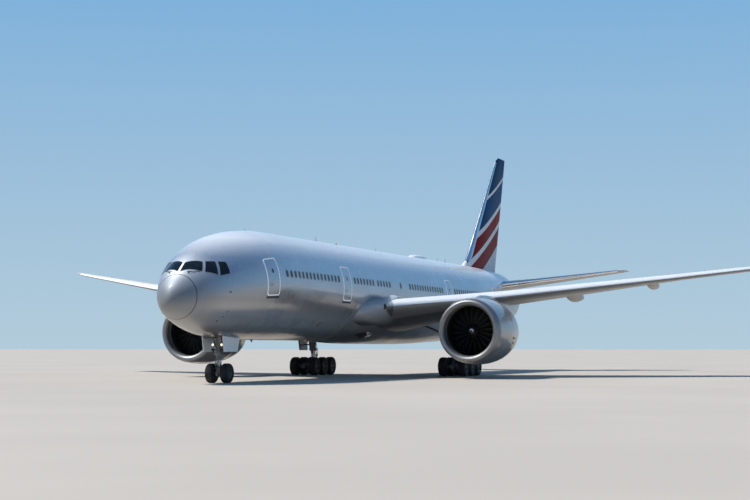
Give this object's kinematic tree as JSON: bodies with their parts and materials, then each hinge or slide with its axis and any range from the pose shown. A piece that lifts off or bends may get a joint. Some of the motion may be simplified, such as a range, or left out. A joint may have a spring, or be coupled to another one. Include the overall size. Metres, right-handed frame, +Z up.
{
  "type": "wide body twin-engine airliner, half-scale model",
  "caption": "Wide body airliner with swept low wings, a turbofan under each, a single fin and a low tailplane, parked on bogie landing gear with moving wheels, fans, flaps and controls.",
  "frame": {"origin": "on the ground, under the middle of the aircraft's overall length, in its plane of symmetry", "axes": "-Y points to the nose, +X to the aircraft's left wing tip and +Z up"},
  "size_m": [30.465, 31.865, 9.25],
  "materials": {
    "silver_paint": "silver grey mica paint with a clear coat",
    "grey_paint": "satin grey paint on wing, tailplane and fairing panels",
    "bare_metal": "bare polished leading edges and engine lips",
    "fin_paint": "blue, red and silver bands on the fin and rudder",
    "gear_paint": "off-white gloss paint with oily bare pins",
    "engine_metal": "dark fan blades, core cowl and exhaust",
    "tyre": "worn black tyres on light painted wheels",
    "glazing": "dark flight deck windows in thin frames"
  },
  "bodies": {
    "airframe": {"slats_left": "bare_metal", "wing_left": "grey_paint", "inlet_lip_left": "bare_metal", "fan_cowl_left": "silver_paint", "reverser_cowl_left": "silver_paint", "engine_core_left": "engine_metal", "pylon_left": "silver_paint", "stabiliser_left": "grey_paint", "bogie_beam_left": "gear_paint", "main_gear_leg_left": "gear_paint", "nose_gear_door_left": "gear_paint", "slats_right": "bare_metal", "wing_right": "grey_paint", "inlet_lip_right": "bare_metal", "fan_cowl_right": "silver_paint", "reverser_cowl_right": "silver_paint", "engine_core_right": "engine_metal", "pylon_right": "silver_paint", "stabiliser_right": "grey_paint", "bogie_beam_right": "gear_paint", "main_gear_leg_right": "gear_paint", "nose_gear_door_right": "gear_paint", "radome": "silver_paint", "nose_section": "silver_paint", "flight_deck_glazing": "glazing", "centre_fuselage": "silver_paint", "tail_cone": "silver_paint", "forward_fuselage": "silver_paint", "aft_fuselage": "silver_paint", "belly_fairing": "grey_paint", "fin": "fin_paint", "nose_gear_leg": "gear_paint"},
    "inboard_flap_left": {"inboard_flap_left": "grey_paint"},
    "flaperon_left": {"flaperon_left": "grey_paint"},
    "outboard_flap_left": {"outboard_flap_left": "grey_paint"},
    "aileron_left": {"aileron_left": "grey_paint"},
    "inboard_spoiler_left": {"inboard_spoiler_left": "grey_paint"},
    "outboard_spoiler_left": {"outboard_spoiler_left": "grey_paint"},
    "elevator_left": {"elevator_left": "grey_paint"},
    "fan_left": {"fan_left": "engine_metal"},
    "main_wheels_front_left": {"main_wheels_front_left": "tyre"},
    "main_wheels_middle_left": {"main_wheels_middle_left": "tyre"},
    "main_wheels_rear_left": {"main_wheels_rear_left": "tyre"},
    "inboard_flap_right": {"inboard_flap_right": "grey_paint"},
    "flaperon_right": {"flaperon_right": "grey_paint"},
    "outboard_flap_right": {"outboard_flap_right": "grey_paint"},
    "aileron_right": {"aileron_right": "grey_paint"},
    "inboard_spoiler_right": {"inboard_spoiler_right": "grey_paint"},
    "outboard_spoiler_right": {"outboard_spoiler_right": "grey_paint"},
    "elevator_right": {"elevator_right": "grey_paint"},
    "fan_right": {"fan_right": "engine_metal"},
    "main_wheels_front_right": {"main_wheels_front_right": "tyre"},
    "main_wheels_middle_right": {"main_wheels_middle_right": "tyre"},
    "main_wheels_rear_right": {"main_wheels_rear_right": "tyre"},
    "rudder": {"rudder": "fin_paint"},
    "nose_gear_steering": {"nose_gear_steering": "gear_paint"},
    "nose_wheels": {"nose_wheels": "tyre"},
    "forward_cargo_door": {"forward_cargo_door": "silver_paint"},
    "aft_cargo_door": {"aft_cargo_door": "silver_paint"}
  },
  "joints": [
    {"name": "inboard_flap_left_hinge", "type": "hinge", "parent": "airframe", "child": "inboard_flap_left", "pos_m": [3.15978, 0.29091, 1.82229], "axis": [-0.9835, -0.0316, -0.1784], "range_deg": [0, 30]},
    {"name": "flaperon_left_hinge", "type": "hinge", "parent": "airframe", "child": "flaperon_left", "pos_m": [5, 0.54114, 2.6253], "axis": [0.9443, 0.299, 0.1373], "range_deg": [-36, 11]},
    {"name": "outboard_flap_left_hinge", "type": "hinge", "parent": "airframe", "child": "outboard_flap_left", "pos_m": [8.27452, 1.72172, 2.7369], "axis": [-0.9165, -0.3779, -0.131], "range_deg": [0, 30]},
    {"name": "aileron_left_hinge", "type": "hinge", "parent": "airframe", "child": "aileron_left", "pos_m": [12.675, 3.63844, 3.69616], "axis": [0.9095, 0.3988, 0.1174], "range_deg": [-20, 30]},
    {"name": "inboard_spoiler_left_hinge", "type": "hinge", "parent": "airframe", "child": "inboard_spoiler_left", "pos_m": [3.1, -0.27584, 2.45216], "axis": [0.9839, 0.0246, 0.1773], "range_deg": [0, 60]},
    {"name": "outboard_spoiler_left_hinge", "type": "hinge", "parent": "airframe", "child": "outboard_spoiler_left", "pos_m": [7.875, 1.05282, 3.15483], "axis": [0.8998, 0.42, 0.1183], "range_deg": [0, 60]},
    {"name": "elevator_left_hinge", "type": "hinge", "parent": "airframe", "child": "elevator_left", "pos_m": [2.9875, 14.416, 3.89396], "axis": [0.8891, 0.4355, 0.1407], "range_deg": [-27, 33]},
    {"name": "fan_left_spin", "type": "hinge", "parent": "airframe", "child": "fan_left", "pos_m": [4.8, -5.0325, 1.475], "axis": [0, 1, 0], "continuous": true},
    {"name": "main_wheels_front_left_spin", "type": "hinge", "parent": "airframe", "child": "main_wheels_front_left", "pos_m": [2.7425, -0.7675, 0.3175], "axis": [1, 0, 0], "continuous": true},
    {"name": "main_wheels_middle_left_spin", "type": "hinge", "parent": "airframe", "child": "main_wheels_middle_left", "pos_m": [2.7425, -0.0425, 0.3175], "axis": [1, 0, 0], "continuous": true},
    {"name": "main_wheels_rear_left_spin", "type": "hinge", "parent": "airframe", "child": "main_wheels_rear_left", "pos_m": [2.7425, 0.6825, 0.3175], "axis": [1, 0, 0], "continuous": true},
    {"name": "inboard_flap_right_hinge", "type": "hinge", "parent": "airframe", "child": "inboard_flap_right", "pos_m": [-3.15978, 0.29091, 1.82229], "axis": [-0.9835, 0.0316, 0.1784], "range_deg": [0, 30]},
    {"name": "flaperon_right_hinge", "type": "hinge", "parent": "airframe", "child": "flaperon_right", "pos_m": [-5, 0.54114, 2.6253], "axis": [0.9443, -0.299, -0.1373], "range_deg": [-36, 11]},
    {"name": "outboard_flap_right_hinge", "type": "hinge", "parent": "airframe", "child": "outboard_flap_right", "pos_m": [-8.27452, 1.72172, 2.7369], "axis": [-0.9165, 0.3779, 0.131], "range_deg": [0, 30]},
    {"name": "aileron_right_hinge", "type": "hinge", "parent": "airframe", "child": "aileron_right", "pos_m": [-12.675, 3.63844, 3.69616], "axis": [0.9095, -0.3988, -0.1174], "range_deg": [-20, 30]},
    {"name": "inboard_spoiler_right_hinge", "type": "hinge", "parent": "airframe", "child": "inboard_spoiler_right", "pos_m": [-3.1, -0.27584, 2.45216], "axis": [0.9839, -0.0246, -0.1773], "range_deg": [0, 60]},
    {"name": "outboard_spoiler_right_hinge", "type": "hinge", "parent": "airframe", "child": "outboard_spoiler_right", "pos_m": [-7.875, 1.05282, 3.15483], "axis": [0.8998, -0.42, -0.1183], "range_deg": [0, 60]},
    {"name": "elevator_right_hinge", "type": "hinge", "parent": "airframe", "child": "elevator_right", "pos_m": [-2.9875, 14.416, 3.89396], "axis": [0.8891, -0.4355, -0.1407], "range_deg": [-27, 33]},
    {"name": "fan_right_spin", "type": "hinge", "parent": "airframe", "child": "fan_right", "pos_m": [-4.8, -5.0325, 1.475], "axis": [0, 1, 0], "continuous": true},
    {"name": "main_wheels_front_right_spin", "type": "hinge", "parent": "airframe", "child": "main_wheels_front_right", "pos_m": [-2.7425, -0.7675, 0.3175], "axis": [1, 0, 0], "continuous": true},
    {"name": "main_wheels_middle_right_spin", "type": "hinge", "parent": "airframe", "child": "main_wheels_middle_right", "pos_m": [-2.7425, -0.0425, 0.3175], "axis": [1, 0, 0], "continuous": true},
    {"name": "main_wheels_rear_right_spin", "type": "hinge", "parent": "airframe", "child": "main_wheels_rear_right", "pos_m": [-2.7425, 0.6825, 0.3175], "axis": [1, 0, 0], "continuous": true},
    {"name": "rudder_hinge", "type": "hinge", "parent": "airframe", "child": "rudder", "pos_m": [0, 13.51533, 6.8875], "axis": [0, 0.4623, 0.8867], "range_deg": [-27, 27]},
    {"name": "nose_steering", "type": "hinge", "parent": "airframe", "child": "nose_gear_steering", "pos_m": [0, -12.9875, 0.5], "axis": [0, 0, 1], "range_deg": [-70, 70]},
    {"name": "nose_wheels_spin", "type": "hinge", "parent": "nose_gear_steering", "child": "nose_wheels", "pos_m": [0, -12.9875, 0.2675], "axis": [1, 0, 0], "continuous": true},
    {"name": "forward_cargo_door_hinge", "type": "hinge", "parent": "airframe", "child": "forward_cargo_door", "pos_m": [-1.492, -9.81, 2.3], "axis": [0, 1, 0], "range_deg": [0, 100]},
    {"name": "aft_cargo_door_hinge", "type": "hinge", "parent": "airframe", "child": "aft_cargo_door", "pos_m": [-1.4775, 5.89, 2.3], "axis": [0, 1, 0], "range_deg": [0, 100]}
  ]
}
